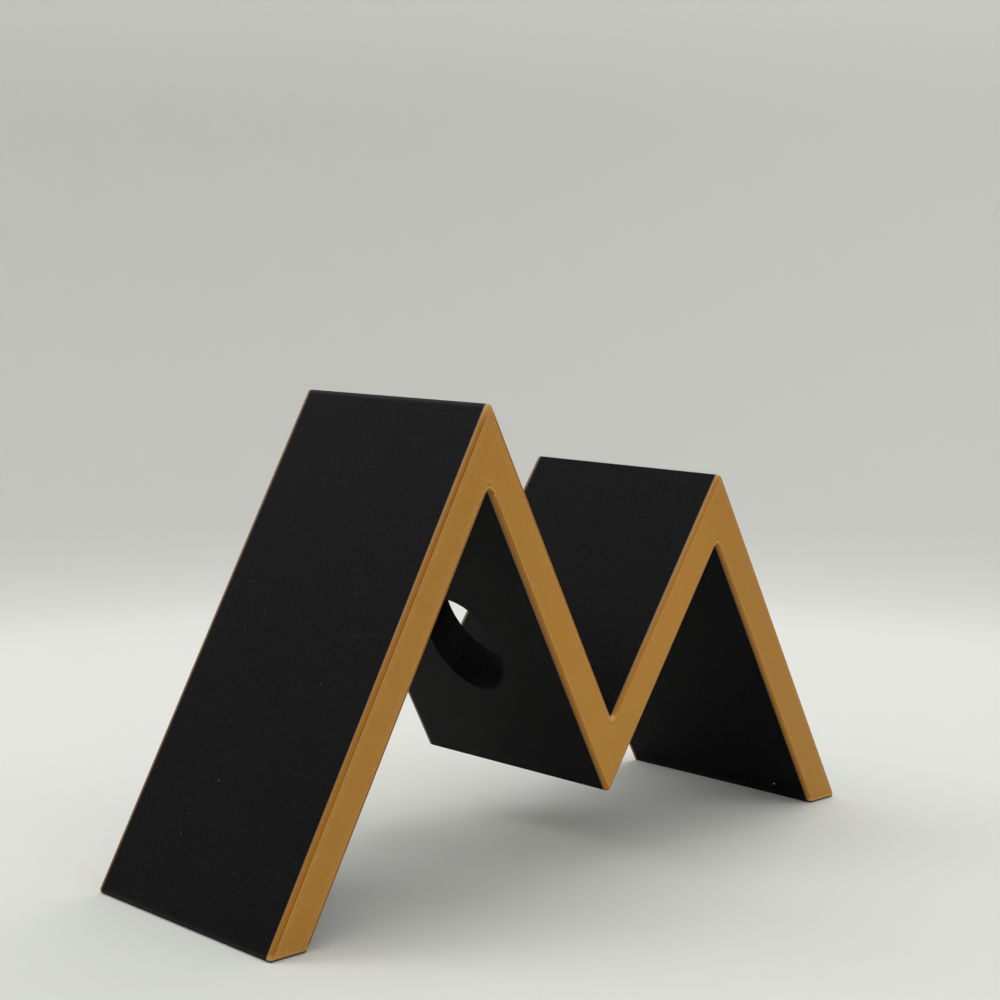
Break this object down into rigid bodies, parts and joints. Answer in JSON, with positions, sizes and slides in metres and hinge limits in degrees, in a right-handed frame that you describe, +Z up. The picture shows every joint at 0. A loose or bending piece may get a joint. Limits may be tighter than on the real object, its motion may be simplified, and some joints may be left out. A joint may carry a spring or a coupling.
{
  "type": "wine bottle holder",
  "caption": "Zigzag bottle stand in the outline of a mountain range: a slanted hole in the tall peak's slope takes the neck and the short peak carries the shoulder.",
  "frame": {"origin": "on the floor, in the middle of the footprint", "axes": "+X from the tall peak's side to the short peak's side, +Y from the front to the back, +Z up"},
  "size_m": [0.2814, 0.094, 0.1657],
  "materials": {
    "black_plastic": "printed, satin",
    "caramel_plastic": "printed, satin"
  },
  "bodies": {
    "root": {"core": "black_plastic", "front_facing": "caramel_plastic", "back_facing": "caramel_plastic"}
  },
  "joints": []
}
